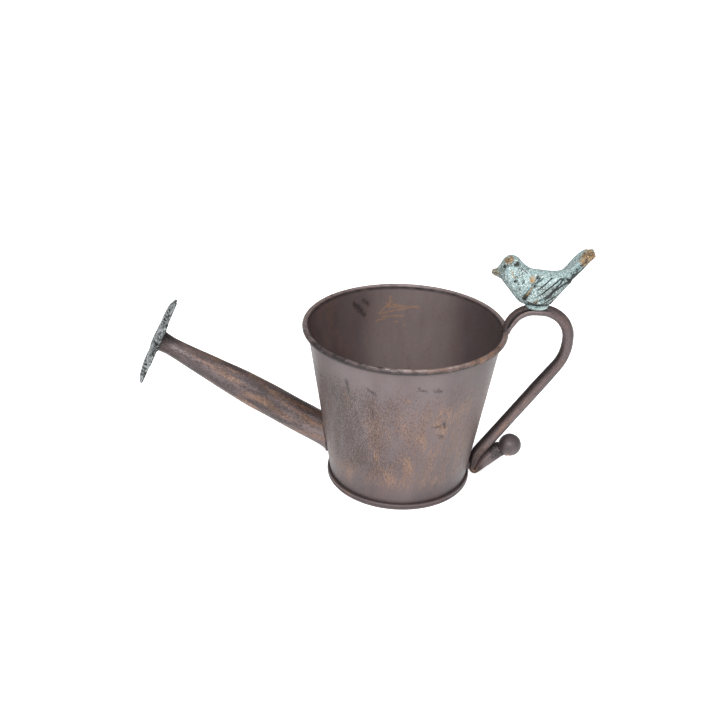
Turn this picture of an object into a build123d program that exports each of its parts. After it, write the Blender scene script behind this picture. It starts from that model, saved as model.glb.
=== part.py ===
from build123d import *
import math
import os

# A small decorative watering can: a tapered sheet-metal pot, a long rolled spout with a cast
# flower rose, a bent tube handle that folds back on itself and ends in a ball, and a cast bird.
# Units are millimetres. The pot's axis is Z, it stands on z = 0, the spout points to -X and the
# handle to +X. Everything is centred on the plane y = 0.

# Pot
SHEET = 0.6                     # thickness of the rolled sheet of the pot and the spout
POT_HEIGHT = 126.4
RIM_RADIUS = 75.0               # outside of the rolled rim
RIM_BEAD = 4.2                  # diameter of the rolled rim
BASE_RADIUS = 52.6              # outside of the wall where it enters the base seam
SEAM_HEIGHT = 4.4               # folded seam that joins the base to the wall
SEAM_WIDTH = 2.9                # how far the seam stands out from the wall
PANEL_HEIGHT = 3.4              # the base panel is raised inside the seam

# Spout
SPOUT_TILT = 28.8               # degrees above the horizontal
SPOUT_HEIGHT = 31.6             # height of the axis where it meets the wall
SPOUT_LENGTH = 143.0            # from the wall to the back of the rose
SPOUT_ROOT_RADIUS = 11.8
SPOUT_BELLY_RADIUS = 12.0
SPOUT_TIP_RADIUS = 6.9
SPOUT_FLARE = 0.7               # the tip opens a little towards the rose
WELD = 1.8                      # size of the weld beads

# Rose
ROSE_TILT = 24.8                # its face looks up by this angle
ROSE_TURN = 4.5                 # and is turned by this angle towards the can's front side
ROSE_RADIUS = 35.0
ROSE_DROP = 0.8                 # the spout enters this far above the rose's centre
ROSE_THICKNESS = 3.0
PETALS = 8
PETAL_NOTCH_RADIUS = 23.5       # where two petals meet
BOSS_RADIUS = 9.0
BOSS_RISE = 3.0
SPRAY_HOLE = 1.8
SPRAY_RING_RADIUS = 4.0
SPRAY_HOLES = 6

# Handle
HANDLE_DIAMETER = 9.2
HANDLE_WALL = 0.9
HANDLE_RISE = 16.5              # from the top of the rim up to the tube's axis in the arch
HANDLE_OUTREACH = 42.9          # from the rim out to the tube's axis at its furthest
LEG_CORNER_DROP = 34.8          # from the arch down to where the leg's line meets that reach
ARCH_FRONT_BEND = 18.6
ARCH_BACK_BEND = 21.0
LEG_BEND = 37.0
PINCH_HEIGHT = 22.0             # below this height the tube is squeezed flat
FOOT_GAP = 1.5                  # between the tube and the wall at that height
FOLD_HEIGHT = 6.9
FOLD_THICKNESS = 6.6
FOLD_WIDTH = 12.0
TAIL_LENGTH = 27.0              # from the fold to the ball's neck
TAIL_TILT = 40.3
BALL_DIAMETER = 17.2

# Bird
BIRD_STAND = 18.8               # the bird stands this far behind the axis of the handle's front end
PERCH_DIAMETER = 17.0
PERCH_RISE = 2.0                # perch above the top of the tube
PERCH_WRAP = 2.0                # and how far it wraps down round it
BIRD_LENGTH = 41.0              # of the rounded body, without head and tail
BIRD_WIDTH = 23.0
BIRD_BODY_HEIGHT = 26.0
HEAD_DIAMETER = 19.4
TAIL_FEATHERS_LENGTH = 29.5
TAIL_FEATHERS_WIDTH = 17.0
PIN_DIAMETER = 3.2

# Worked out from the sizes above
BEAD = RIM_BEAD / 2
BEAD_HEIGHT = POT_HEIGHT - BEAD
BEAD_AXIS = RIM_RADIUS - BEAD
WALL_SLOPE = (RIM_RADIUS - RIM_BEAD + SHEET - BASE_RADIUS) / (BEAD_HEIGHT - SEAM_HEIGHT)
HANDLE_RADIUS = HANDLE_DIAMETER / 2
HANDLE_TOP = POT_HEIGHT + HANDLE_RISE
HANDLE_REACH = RIM_RADIUS + HANDLE_OUTREACH
HANDLE_FRONT = BEAD_AXIS + 1.2  # the tube's end sits on the rim, a little outwards
FAR = 400.0                     # longer than any piece, for cutting solids


def wall_radius(height):
    """Outside radius of the pot's wall."""
    return BASE_RADIUS + WALL_SLOPE * (height - SEAM_HEIGHT)


SEAM_RADIUS = wall_radius(0) + SEAM_WIDTH


def turned(points):
    """A ring or disc from a profile of (radius, height) points."""
    return revolve(Plane.XZ * make_face(Polyline(*points, close=True)), Axis.Z)


def pot_outside(grow=0.0):
    """The space inside the wall's outer face, for cutting what meets the wall."""
    low, high = -FAR / 10, BEAD_HEIGHT
    return turned([(0, low), (wall_radius(low) + grow, low), (wall_radius(high) + grow, high), (0, high)])


def rim_bead(radius):
    return Pos(0, 0, BEAD_HEIGHT) * Torus(BEAD_AXIS, radius)


def base_seam():
    return turned([(0, 0), (SEAM_RADIUS, 0), (SEAM_RADIUS, SEAM_HEIGHT), (0, SEAM_HEIGHT)])


def pot_wall():
    """Rolled cone with a wired rim at the top and an upturned hook at the bottom."""
    gap_start, gap_end = math.radians(182), math.radians(236)
    reach = 2 * BEAD
    wedge = [(BEAD_AXIS + reach * math.cos(a), BEAD_HEIGHT + reach * math.sin(a)) for a in (gap_start, gap_end)]
    curl = Circle(BEAD) - Circle(BEAD - SHEET)
    curl = Pos(BEAD_AXIS, BEAD_HEIGHT) * curl - make_face(Polyline((BEAD_AXIS, BEAD_HEIGHT), *wedge, close=True))
    top, bottom = BEAD_HEIGHT, SHEET
    strip = make_face(Polyline(
        (wall_radius(top), top), (wall_radius(top) - SHEET, top),
        (wall_radius(bottom) - SHEET, bottom), (wall_radius(bottom), bottom), close=True))
    hook_radius = SEAM_RADIUS - SHEET
    hook_top = SEAM_HEIGHT - SHEET
    hook = make_face(Polyline(
        (wall_radius(bottom) - SHEET, bottom), (hook_radius, bottom), (hook_radius, hook_top),
        (hook_radius - SHEET, hook_top), (hook_radius - SHEET, 2 * SHEET),
        (wall_radius(2 * SHEET) - SHEET, 2 * SHEET), close=True))
    wall = revolve(Plane.XZ * (strip + curl + hook), Axis.Z)
    return wall - spout_solid(-SHEET)


def rim_wire():
    return rim_bead(BEAD - SHEET)


def pot_base():
    """Raised panel whose edge folds round the wall's hook."""
    inner_low = wall_radius(SHEET) - SHEET
    panel_top = PANEL_HEIGHT + SHEET
    top_out = wall_radius(SEAM_HEIGHT)
    hook_top = SEAM_HEIGHT - SHEET
    return turned([
        (0, PANEL_HEIGHT), (inner_low - SHEET, PANEL_HEIGHT), (inner_low - SHEET, 0), (SEAM_RADIUS, 0),
        (SEAM_RADIUS, SEAM_HEIGHT), (top_out, SEAM_HEIGHT), (wall_radius(hook_top), hook_top),
        (SEAM_RADIUS - SHEET, hook_top), (SEAM_RADIUS - SHEET, SHEET), (inner_low, SHEET),
        (wall_radius(panel_top) - SHEET, panel_top), (0, panel_top)])


def seam_seal():
    """Sealing compound that fills the folded seam and keeps the water in."""
    low, high = 2 * SHEET, SEAM_HEIGHT - SHEET
    outer = SEAM_RADIUS - 2 * SHEET
    return turned([(wall_radius(low), low), (outer, low), (outer, high), (wall_radius(high), high)])


def spout_root():
    """Point where the spout's axis meets the wall."""
    return Vector(-wall_radius(SPOUT_HEIGHT), 0, SPOUT_HEIGHT)


def along_spout(distance):
    tilt = math.radians(SPOUT_TILT)
    return spout_root() + Vector(-math.cos(tilt), 0, math.sin(tilt)) * distance


def spout_solid(grow=0.0):
    """The spout's filled shape, from inside the pot to just past its tip."""
    stations = [
        (0.00, SPOUT_ROOT_RADIUS), (0.28, SPOUT_BELLY_RADIUS), (0.50, 0.95 * SPOUT_BELLY_RADIUS),
        (0.75, 0.5 * (SPOUT_BELLY_RADIUS + SPOUT_TIP_RADIUS) - 0.7), (0.93, SPOUT_TIP_RADIUS),
        (1.00, SPOUT_TIP_RADIUS + SPOUT_FLARE)]
    outline = Spline(*[(share * SPOUT_LENGTH, radius + grow) for share, radius in stations])
    inside = -3 * SPOUT_ROOT_RADIUS
    start, end = outline @ 0, outline @ 1
    rest = Polyline(end, (end.X + 2, end.Y), (end.X + 2, 0), (inside, 0), (inside, start.Y), start)
    body = revolve(make_face([outline, rest]), Axis.X)
    frame = Plane(origin=spout_root(), x_dir=along_spout(1) - spout_root(), z_dir=(0, -1, 0))
    return frame * body


def rose_plane(offset=0.0):
    """The rose's back plane, with its centre below the spout's axis."""
    tilt, turn = math.radians(ROSE_TILT), math.radians(ROSE_TURN)
    ahead = Vector(-math.cos(tilt), 0, math.sin(tilt))
    across = Vector(0, -1, 0)
    normal = ahead * math.cos(turn) + across * math.sin(turn)
    up = Vector(math.sin(tilt), 0, math.cos(tilt))
    centre = along_spout(SPOUT_LENGTH) - up * ROSE_DROP + normal * offset
    return Plane(origin=centre, x_dir=across * math.cos(turn) - ahead * math.sin(turn), z_dir=normal)


def rose_side(offset=0.0):
    """Everything in front of the rose's back plane."""
    return rose_plane(offset) * Box(FAR, FAR, FAR, align=(Align.CENTER, Align.CENTER, Align.MIN))


def spout_tube():
    tube = spout_solid() - spout_solid(-SHEET)
    tube = tube - rose_side() - pot_outside()
    return tube


def spout_root_weld():
    bead = spout_solid(WELD) & pot_outside(WELD)
    return largest(bead - pot_outside() - spout_solid())


def rose_weld():
    ring = spout_solid(WELD) & rose_side(-WELD)
    return ring - rose_side() - spout_solid()


def rose_flower():
    """Cast flower with pointed petals and a perforated boss over the end of the spout."""
    step = 2 * math.pi / PETALS
    outline = []
    for petal in range(PETALS):
        middle = petal * step
        shoulder = 0.30 * step
        for angle, radius in ((middle - step / 2, PETAL_NOTCH_RADIUS),
                              (middle - shoulder, 0.87 * ROSE_RADIUS),
                              (middle, ROSE_RADIUS),
                              (middle + shoulder, 0.87 * ROSE_RADIUS)):
            outline.append((radius * math.sin(angle), radius * math.cos(angle)))
    petals = extrude(make_face(Polyline(*outline, close=True)), ROSE_THICKNESS)
    boss = Pos(0, 0, ROSE_THICKNESS) * Cone(BOSS_RADIUS, BOSS_RADIUS * 0.6, BOSS_RISE, align=(
        Align.CENTER, Align.CENTER, Align.MIN))
    flower = petals + Pos(0, ROSE_DROP, 0) * boss
    spots = [(0, ROSE_DROP)]
    for hole in range(SPRAY_HOLES):
        turn = 2 * math.pi * hole / SPRAY_HOLES
        spots.append((SPRAY_RING_RADIUS * math.cos(turn), ROSE_DROP + SPRAY_RING_RADIUS * math.sin(turn)))
    for x, y in spots:
        flower -= Pos(x, y, 0) * Cylinder(SPRAY_HOLE / 2, 4 * ROSE_THICKNESS)
    return rose_plane() * flower


def leg_corner():
    """Where the line of the straight leg meets the handle's furthest reach."""
    return Vector(HANDLE_REACH, 0, HANDLE_TOP - LEG_CORNER_DROP)


def leg_foot():
    """Lower end of the round part of the leg, close to the wall."""
    return Vector(wall_radius(PINCH_HEIGHT) + HANDLE_RADIUS + FOOT_GAP, 0, PINCH_HEIGHT)


def fold_point():
    return Vector(SEAM_RADIUS + FOLD_THICKNESS / 2 + 0.1, 0, FOLD_HEIGHT)


def tail_point(distance):
    tilt = math.radians(TAIL_TILT)
    return fold_point() + Vector(math.cos(tilt), 0, math.sin(tilt)) * distance


def oval(centre, direction, thickness, width):
    """Section of the tube across its direction; width runs along Y."""
    plane = Plane(origin=centre, x_dir=(0, 1, 0), z_dir=direction)
    return plane * Ellipse(width / 2, thickness / 2)


def handle_sweep(radius):
    """Arch and straight leg, from inside the rim down to where the tube is squeezed."""
    path = FilletPolyline(
        (HANDLE_FRONT, 0, BEAD_HEIGHT - 1), (HANDLE_FRONT, 0, HANDLE_TOP), (HANDLE_REACH, 0, HANDLE_TOP),
        tuple(leg_corner()), tuple(leg_foot()),
        radius=[ARCH_FRONT_BEND, ARCH_BACK_BEND, LEG_BEND])
    start = Plane(origin=path @ 0, z_dir=path % 0)
    return sweep(start * Circle(radius), path=path)


def fold_roll():
    """Rounded lump of the tight fold, an ellipsoid about a line along Y."""
    half = Ellipse(FOLD_WIDTH / 2, FOLD_THICKNESS / 2) & Pos(0, FOLD_WIDTH) * Rectangle(2 * FOLD_WIDTH, 2 * FOLD_WIDTH)
    frame = Plane(origin=fold_point(), x_dir=(0, 1, 0), z_dir=(1, 0, 0))
    return revolve(frame * half, Axis(fold_point(), (0, 1, 0)))


def handle_pinch():
    """The squeezed end of the leg, the tight fold and the tail that carries the ball."""
    fold = fold_point()
    middle = Vector(wall_radius(2 * FOLD_HEIGHT) + 0.42 * HANDLE_DIAMETER, 0, 2 * FOLD_HEIGHT)
    thickness, width = 0.9 * FOLD_THICKNESS, 0.9 * FOLD_WIDTH
    leg = loft([
        oval(fold, (0.05, 0, 1), thickness, width),
        oval(middle, (0.3, 0, 1), 0.84 * HANDLE_DIAMETER, 1.15 * HANDLE_DIAMETER),
        oval(leg_foot(), leg_corner() - leg_foot(), HANDLE_DIAMETER, HANDLE_DIAMETER)])
    tail_direction = tail_point(1) - fold
    tail = loft([
        oval(fold, tail_direction, thickness, width),
        oval(tail_point(0.45 * TAIL_LENGTH), tail_direction, 0.9 * HANDLE_DIAMETER, 1.1 * HANDLE_DIAMETER),
        oval(tail_point(TAIL_LENGTH), tail_direction, HANDLE_DIAMETER, HANDLE_DIAMETER)])
    return leg + fold_roll() + tail


def handle_outside():
    return handle_sweep(HANDLE_RADIUS) + handle_pinch()


def handle_tube():
    tube = handle_outside() - handle_sweep(HANDLE_RADIUS - HANDLE_WALL)
    tube = tube - pot_outside() - rim_bead(BEAD) - base_seam() - finial_ball() - pin_solid()
    return largest(tube)


def handle_rim_weld():
    """Bead round the end of the tube where it sits on the rim."""
    bead = rim_bead(BEAD + WELD) & handle_sweep(HANDLE_RADIUS + WELD)
    bead = bead - rim_bead(BEAD) - handle_sweep(HANDLE_RADIUS) - pot_outside(0.01)
    return largest(bead)


def handle_foot_weld():
    """Weld between the squeezed foot and the pot."""
    low, high = SEAM_HEIGHT, 2 * FOLD_HEIGHT
    reach = wall_radius(high) + WELD
    block = Pos(reach - 2 * WELD, 0, (low + high) / 2) * Box(5 * WELD, FOLD_WIDTH + WELD, high - low)
    weld = block & pot_outside(2 * WELD)
    return largest(weld - pot_outside() - base_seam() - handle_pinch())


def ball_centre():
    overlap = 1.0
    return tail_point(TAIL_LENGTH + BALL_DIAMETER / 2 - overlap)


def finial_ball():
    return Location(ball_centre()) * Sphere(BALL_DIAMETER / 2)


def finial_weld():
    """Ring where the ball is welded to the end of the tail."""
    plane = Plane(origin=tail_point(TAIL_LENGTH), x_dir=(0, 1, 0), z_dir=tail_point(1) - fold_point())
    ring = plane * Cylinder(HANDLE_RADIUS + WELD / 2, WELD, align=(Align.CENTER, Align.CENTER, Align.CENTER))
    return largest(ring - handle_outside() - finial_ball())


def perch_point(rise=0.0):
    """On the bird's upright axis, above the top of the tube."""
    return Vector(HANDLE_FRONT + BIRD_STAND, 0, HANDLE_TOP + HANDLE_RADIUS + rise)


def pin_solid():
    """Pin that holds the bird and the perch on the tube."""
    low = -HANDLE_WALL - 1.0
    high = PERCH_RISE + BIRD_BODY_HEIGHT / 3
    return Location(perch_point(low)) * Cylinder(PIN_DIAMETER / 2, high - low, align=(
        Align.CENTER, Align.CENTER, Align.MIN))


def bird_pin():
    return pin_solid()


def bird_perch():
    pad = Location(perch_point(-PERCH_WRAP)) * Cylinder(PERCH_DIAMETER / 2, PERCH_RISE + PERCH_WRAP, align=(
        Align.CENTER, Align.CENTER, Align.MIN))
    return largest(pad - handle_sweep(HANDLE_RADIUS) - pin_solid())


def egg(x, z, length, width, height, tilt=0.0, y=0.0):
    """An ellipsoid placed from the foot of the bird, tilted in the plane of the can."""
    place = Location(perch_point(PERCH_RISE) + Vector(x, y, z), (0, -tilt, 0))
    return place * scale(Sphere(1), by=(length / 2, width / 2, height / 2))


def bird_body():
    """Cast bird with a round head, folded wings and a raised fan tail."""
    half = BIRD_BODY_HEIGHT / 2
    head_x, head_z = -0.52 * BIRD_LENGTH, 0.97 * BIRD_BODY_HEIGHT
    body = egg(0, half - 1.0, BIRD_LENGTH, BIRD_WIDTH, BIRD_BODY_HEIGHT)
    body += egg(0.7 * head_x, 0.72 * BIRD_BODY_HEIGHT, 22, 0.9 * BIRD_WIDTH, 20, tilt=45)
    body += egg(head_x, head_z, HEAD_DIAMETER, 0.94 * HEAD_DIAMETER, HEAD_DIAMETER)
    beak_at = perch_point(PERCH_RISE) + Vector(head_x - 0.42 * HEAD_DIAMETER, 0, head_z - 0.18 * HEAD_DIAMETER)
    beak = Cone(0.21 * HEAD_DIAMETER, 0.05 * HEAD_DIAMETER, 0.27 * HEAD_DIAMETER, align=(
        Align.CENTER, Align.CENTER, Align.MIN))
    body += Plane(origin=beak_at, x_dir=(0, 1, 0), z_dir=(-1, 0, -0.1)) * beak
    root = perch_point(PERCH_RISE) + Vector(0.33 * BIRD_LENGTH, 0, 0.62 * BIRD_BODY_HEIGHT)
    lift = Vector(math.cos(math.radians(47)), 0, math.sin(math.radians(47)))
    fan = loft([
        oval(root, lift, 11.0, 0.7 * TAIL_FEATHERS_WIDTH),
        oval(root + lift * 0.5 * TAIL_FEATHERS_LENGTH, lift, 6.5, 0.85 * TAIL_FEATHERS_WIDTH),
        oval(root + lift * TAIL_FEATHERS_LENGTH, lift, 4.0, TAIL_FEATHERS_WIDTH)])
    body += fan
    for side in (-1, 1):
        body += egg(0.09 * BIRD_LENGTH, 0.45 * BIRD_BODY_HEIGHT, 0.75 * BIRD_LENGTH, 5.0,
                    0.55 * BIRD_BODY_HEIGHT, tilt=24, y=side * 0.42 * BIRD_WIDTH)
    floor = Location(perch_point(PERCH_RISE)) * Box(FAR, FAR, FAR, align=(Align.CENTER, Align.CENTER, Align.MAX))
    return largest(body - floor - pin_solid())


def largest(shape):
    """The biggest solid of a cut, without loose crumbs."""
    return max(shape.solids(), key=lambda solid: solid.volume)


PIECES = [
    pot_wall, rim_wire, pot_base, seam_seal, spout_tube, spout_root_weld, rose_weld, rose_flower,
    handle_tube, handle_rim_weld, handle_foot_weld, finial_ball, finial_weld,
    bird_pin, bird_perch, bird_body]

os.makedirs("parts", exist_ok=True)
for piece in PIECES:
    export_step(piece(), f"parts/{piece.__name__}.step")
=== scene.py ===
"""Looks for the small bird-handled watering can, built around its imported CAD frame."""
import functools
import math

import bmesh
import bpy
from mathutils import Matrix, Vector, noise


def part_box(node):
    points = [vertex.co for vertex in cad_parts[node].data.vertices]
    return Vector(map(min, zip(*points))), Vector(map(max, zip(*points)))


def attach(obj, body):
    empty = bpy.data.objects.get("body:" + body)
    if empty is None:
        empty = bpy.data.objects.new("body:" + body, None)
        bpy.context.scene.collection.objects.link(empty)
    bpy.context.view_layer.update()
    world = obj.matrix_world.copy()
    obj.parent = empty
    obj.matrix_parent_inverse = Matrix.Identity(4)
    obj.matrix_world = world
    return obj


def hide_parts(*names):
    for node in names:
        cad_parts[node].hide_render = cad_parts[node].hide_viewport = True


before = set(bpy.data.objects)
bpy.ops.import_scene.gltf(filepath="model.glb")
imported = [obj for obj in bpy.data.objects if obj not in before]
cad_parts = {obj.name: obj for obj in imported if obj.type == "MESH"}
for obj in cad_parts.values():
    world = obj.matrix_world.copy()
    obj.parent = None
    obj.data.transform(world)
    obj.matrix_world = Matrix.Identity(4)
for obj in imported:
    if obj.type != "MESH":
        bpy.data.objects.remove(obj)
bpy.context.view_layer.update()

MM = 0.001
TAU = 2 * math.pi


# ---------------------------------------------------------------- sizes, in millimetres
def box_mm(node):
    """Lowest and highest corner of a CAD node, in millimetres."""
    low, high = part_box(node)
    return Vector(low) / MM, Vector(high) / MM


def heading(degrees):
    """Unit direction in the can's upright middle plane, from the handle's side upwards."""
    return Vector((math.cos(math.radians(degrees)), 0, math.sin(math.radians(degrees))))


def turned(radius, angle, height):
    """Point at a radius, an angle round the pot's axis and a height."""
    return Vector((radius * math.cos(angle), radius * math.sin(angle), height))


RIM_RADIUS = box_mm("pot_wall")[1].x
POT_HEIGHT = box_mm("pot_wall")[1].z
SEAM_RADIUS = box_mm("pot_base")[1].x
SEAM_HEIGHT = box_mm("pot_base")[1].z
SHEET = 0.6
RIM_BEAD = 4.2
PANEL_HEIGHT = 3.4
# Length of the cutter that opens the wall into the spout.
BORE_CUT = 40.0
# Radius of a disc's smallest ring, which is then drawn together to a point.
POLE = 0.02
BEAD_HEIGHT = POT_HEIGHT - RIM_BEAD / 2
BEAD_AXIS = RIM_RADIUS - RIM_BEAD / 2
WALL_TOP_RADIUS = RIM_RADIUS - RIM_BEAD + SHEET
WALL_FOOT_RADIUS = 52.6
WALL_SLOPE = (WALL_TOP_RADIUS - WALL_FOOT_RADIUS) / (BEAD_HEIGHT - SEAM_HEIGHT)

SPOUT_TILT = 28.8
SPOUT_HEIGHT = 31.6
SPOUT_LENGTH = 143.0
SPOUT_RADII = ((0.0, 11.8), (0.28, 12.0), (0.5, 11.4), (0.75, 8.75), (0.93, 6.9), (1.0, 7.6))

ROSE_TILT = 24.8
ROSE_TURN = math.radians(4.5)
ROSE_RADIUS = 35.0
ROSE_DROP = 0.8
PETALS = 8
NOTCH_RADIUS = 23.5
BOSS_RADIUS = 9.0
SPRAY_RING = 4.0
SPRAY_HOLES = 6
SPRAY_SPOTS = [(0.0, 0.0)]
SPRAY_SPOTS += [tuple(turned(SPRAY_RING, TAU * hole / SPRAY_HOLES, 0).xy) for hole in range(SPRAY_HOLES)]

TUBE = 9.2
HANDLE_GRAIN = 4.6
HANDLE_TOP = POT_HEIGHT + 16.5
HANDLE_FRONT = BEAD_AXIS + 1.2
HANDLE_REACH = RIM_RADIUS + 42.9
LEG_CORNER = Vector((HANDLE_REACH, 0, HANDLE_TOP - 34.8))
PINCH_HEIGHT = 22.0
FOOT_GAP = 1.5
ARCH_FRONT_BEND, ARCH_BACK_BEND, LEG_BEND = 18.6, 21.0, 37.0
ARCH_THICK, ARCH_WIDE = 8.3, 8.9
LEG_THICK, LEG_WIDE = 9.55, 9.4
FOLD_THICK, FOLD_WIDE = 4.3, 12.8
FOLD_STEPS, TAIL_STEPS = 21, 24
FOLD_HEIGHT = 6.9
FOLD_REACH = 3.4
TAIL_TILT = 40.3
TAIL_LENGTH = 27.0
BALL_RADIUS = 8.6
BALL_SINK = 1.0
PERCH_RADIUS = 8.5
PERCH_TOP = box_mm("bird_perch")[1].z
PERCH_FOOT = box_mm("bird_perch")[0].z
BIRD_X = 0.5 * (box_mm("bird_perch")[0].x + box_mm("bird_perch")[1].x)


def wall_radius(height):
    """Outside radius of the pot's wall."""
    return WALL_FOOT_RADIUS + WALL_SLOPE * (height - SEAM_HEIGHT)


LEG_FOOT = Vector((wall_radius(PINCH_HEIGHT) + TUBE / 2 + FOOT_GAP, 0, PINCH_HEIGHT))
FOLD = Vector((SEAM_RADIUS + FOLD_REACH, 0, FOLD_HEIGHT))
TAIL_WAY = heading(TAIL_TILT)
TAIL_UP = heading(90 + TAIL_TILT)
BALL = FOLD + TAIL_WAY * (TAIL_LENGTH + BALL_RADIUS - BALL_SINK)
ACROSS = Vector((0, 1, 0))
SPOUT_WAY = heading(180 - SPOUT_TILT)
SPOUT_SIDE = heading(90 - SPOUT_TILT)
SPOUT_ROOT = Vector((-wall_radius(SPOUT_HEIGHT), 0, SPOUT_HEIGHT))
ROSE_AHEAD = heading(180 - ROSE_TILT)
ROSE_WAY = ROSE_AHEAD * math.cos(ROSE_TURN) - ACROSS * math.sin(ROSE_TURN)
ROSE_ASIDE = ACROSS * math.cos(ROSE_TURN) + ROSE_AHEAD * math.sin(ROSE_TURN)
ROSE_UP = heading(90 - ROSE_TILT)
ROSE_CENTRE = SPOUT_ROOT + SPOUT_WAY * SPOUT_LENGTH - ROSE_UP * ROSE_DROP


# ---------------------------------------------------------------- small number tools
def ease(value, low, high):
    """0 below low, 1 above high, smooth between."""
    share = min(max((value - low) / (high - low), 0.0), 1.0)
    return share * share * (3 - 2 * share)


def hump(value, centre, width):
    """A smooth bump of height 1 about centre."""
    return math.exp(-((value - centre) / width) ** 2)


def smooth_between(t, start, start_way, end, end_way):
    """Numbers or points on a smooth curve from start to end that leaves and arrives in the given ways."""
    return ((2 * t ** 3 - 3 * t ** 2 + 1) * start + (t ** 3 - 2 * t ** 2 + t) * start_way
            + (3 * t ** 2 - 2 * t ** 3) * end + (t ** 3 - t ** 2) * end_way)


def along(knots, value):
    """Smooth reading of a list of (place, amount) knots."""
    if value <= knots[0][0]:
        return knots[0][1]
    for index in range(len(knots) - 1):
        (a, low), (b, high) = knots[index], knots[index + 1]
        if value <= b:
            before = knots[max(index - 1, 0)]
            after = knots[min(index + 2, len(knots) - 1)]
            slope_a = (high - before[1]) / (b - before[0])
            slope_b = (after[1] - low) / (after[0] - a)
            gap = b - a
            return smooth_between((value - a) / gap, low, gap * slope_a, high, gap * slope_b)
    return knots[-1][1]


def wobble(point, size, seed=0.0):
    """Gentle noise between about -1 and 1, in waves of the given size."""
    return noise.noise(Vector(point) / size + Vector((seed, 2 * seed, 3 * seed)))


# ---------------------------------------------------------------- mesh tools
def skin(rows, segments, place, loop=False):
    """A tube-like skin: a circle is extruded row by row, and place(row, angle) gives each point.

    A loop has its last row joined to its first; otherwise each end is drawn together to a point."""
    bm = bmesh.new()
    rings = [bmesh.ops.create_circle(bm, segments=segments, radius=1.0)["verts"]]
    hoops = [bm.edges[:]]
    for _ in range(rows - 1):
        grown = bmesh.ops.extrude_edge_only(bm, edges=hoops[-1])["geom"]
        ring = {item for item in grown if isinstance(item, bmesh.types.BMVert)}
        rings.append([item for item in grown if item in ring])
        hoops.append([item for item in grown if item not in ring and ring.issuperset(item.verts)])
    for row, ring in enumerate(rings):
        for vert in ring:
            turn = math.atan2(vert.co.y, vert.co.x) / TAU % 1.0
            vert.co = place(row, TAU * round(turn * segments) / segments)
    if loop:
        bmesh.ops.bridge_loops(bm, edges=hoops[0] + hoops[-1])
        return bm
    for ring in (rings[0], rings[-1]):
        middle = sum((vert.co for vert in ring), Vector()) / len(ring)
        bmesh.ops.pointmerge(bm, verts=ring, merge_co=middle)
    return bm


def mesh_from(name, bm):
    """A named mesh from a bmesh, which is given up."""
    mesh = bpy.data.meshes.new(name)
    bm.to_mesh(mesh)
    bm.free()
    return mesh


def stand(name, data):
    """Puts a mesh, a lamp or a camera into the scene."""
    thing = bpy.data.objects.new(name, data)
    bpy.context.scene.collection.objects.link(thing)
    return thing


def amount_at(amount, place):
    """An amount that is a plain one or a formula of the place."""
    return amount(place) if callable(amount) else amount


def finish_piece(name, bm, slot, node, paint, sharp=40):
    """Turns a bmesh in millimetres into a finished piece that stands for a CAD node.

    paint gives each attribute of the points as an amount or as a formula of the point."""
    bmesh.ops.remove_doubles(bm, verts=bm.verts[:], dist=0.002)
    bmesh.ops.recalc_face_normals(bm, faces=bm.faces[:])
    for key, amount in paint.items():
        kinds = bm.verts.layers.float_vector if key == "grain" else bm.verts.layers.float
        layer = kinds.new(key)
        for vert in bm.verts:
            vert[layer] = amount_at(amount, vert.co.copy())
    bmesh.ops.scale(bm, vec=(MM, MM, MM), verts=bm.verts[:])
    for face in bm.faces:
        face.smooth = True
    piece = stand(name, mesh_from(name, bm))
    piece.data.set_sharp_from_angle(angle=math.radians(sharp))
    piece.data.materials.append(FINISHES[slot])
    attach(piece, "root")
    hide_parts(node)
    return piece


class Memory:
    """What was worked out for each point while it was placed, found again by the point."""

    def __init__(self, blank):
        self.blank = blank
        self.kept = {}

    def key(self, point):
        return tuple(round(c, 3) for c in point)

    def keep(self, point, amounts):
        self.kept[self.key(point)] = amounts

    def recall(self, name):
        """A formula of the point for one of the amounts, with the blank one at a drawn-in end."""
        return lambda point: self.kept.get(self.key(point), self.blank)[name]

    def paint(self):
        return {name: self.recall(name) for name in self.blank}


# ---------------------------------------------------------------- shader tools
def tint(colour):
    """Linear colour from a six-digit web colour; a node's colour stays as it is."""
    if not isinstance(colour, str):
        return colour
    parts = [int(colour[at:at + 2], 16) / 255 for at in (0, 2, 4)]
    return tuple(c / 12.92 if c <= 0.04045 else ((c + 0.055) / 1.055) ** 2.4 for c in parts) + (1.0,)


class Signal:
    """A number that changes over a surface; arithmetic on it adds Math nodes."""

    def __init__(self, finish, socket):
        self.finish = finish
        self.socket = socket

    def math(self, operation, *values):
        return self.finish.number("ShaderNodeMath", {"operation": operation}, dict(enumerate(values)))

    def __add__(self, other):
        return self.math("ADD", self, other)

    def __sub__(self, other):
        return self.math("SUBTRACT", self, other)

    def __rsub__(self, other):
        return self.math("SUBTRACT", other, self)

    def __mul__(self, other):
        return self.math("MULTIPLY", self, other)

    __radd__ = __add__
    __rmul__ = __mul__

    def most(self, other):
        return self.math("MAXIMUM", self, other)

    def least(self, other):
        return self.math("MINIMUM", self, other)

    def ramp(self, low, high, start=0.0, end=1.0):
        """Smooth step from start to end as the signal goes from low to high."""
        values = {"Value": self, "From Min": low, "From Max": high, "To Min": start, "To Max": end}
        return self.finish.number("ShaderNodeMapRange", {"interpolation_type": "SMOOTHSTEP"}, values)


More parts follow.
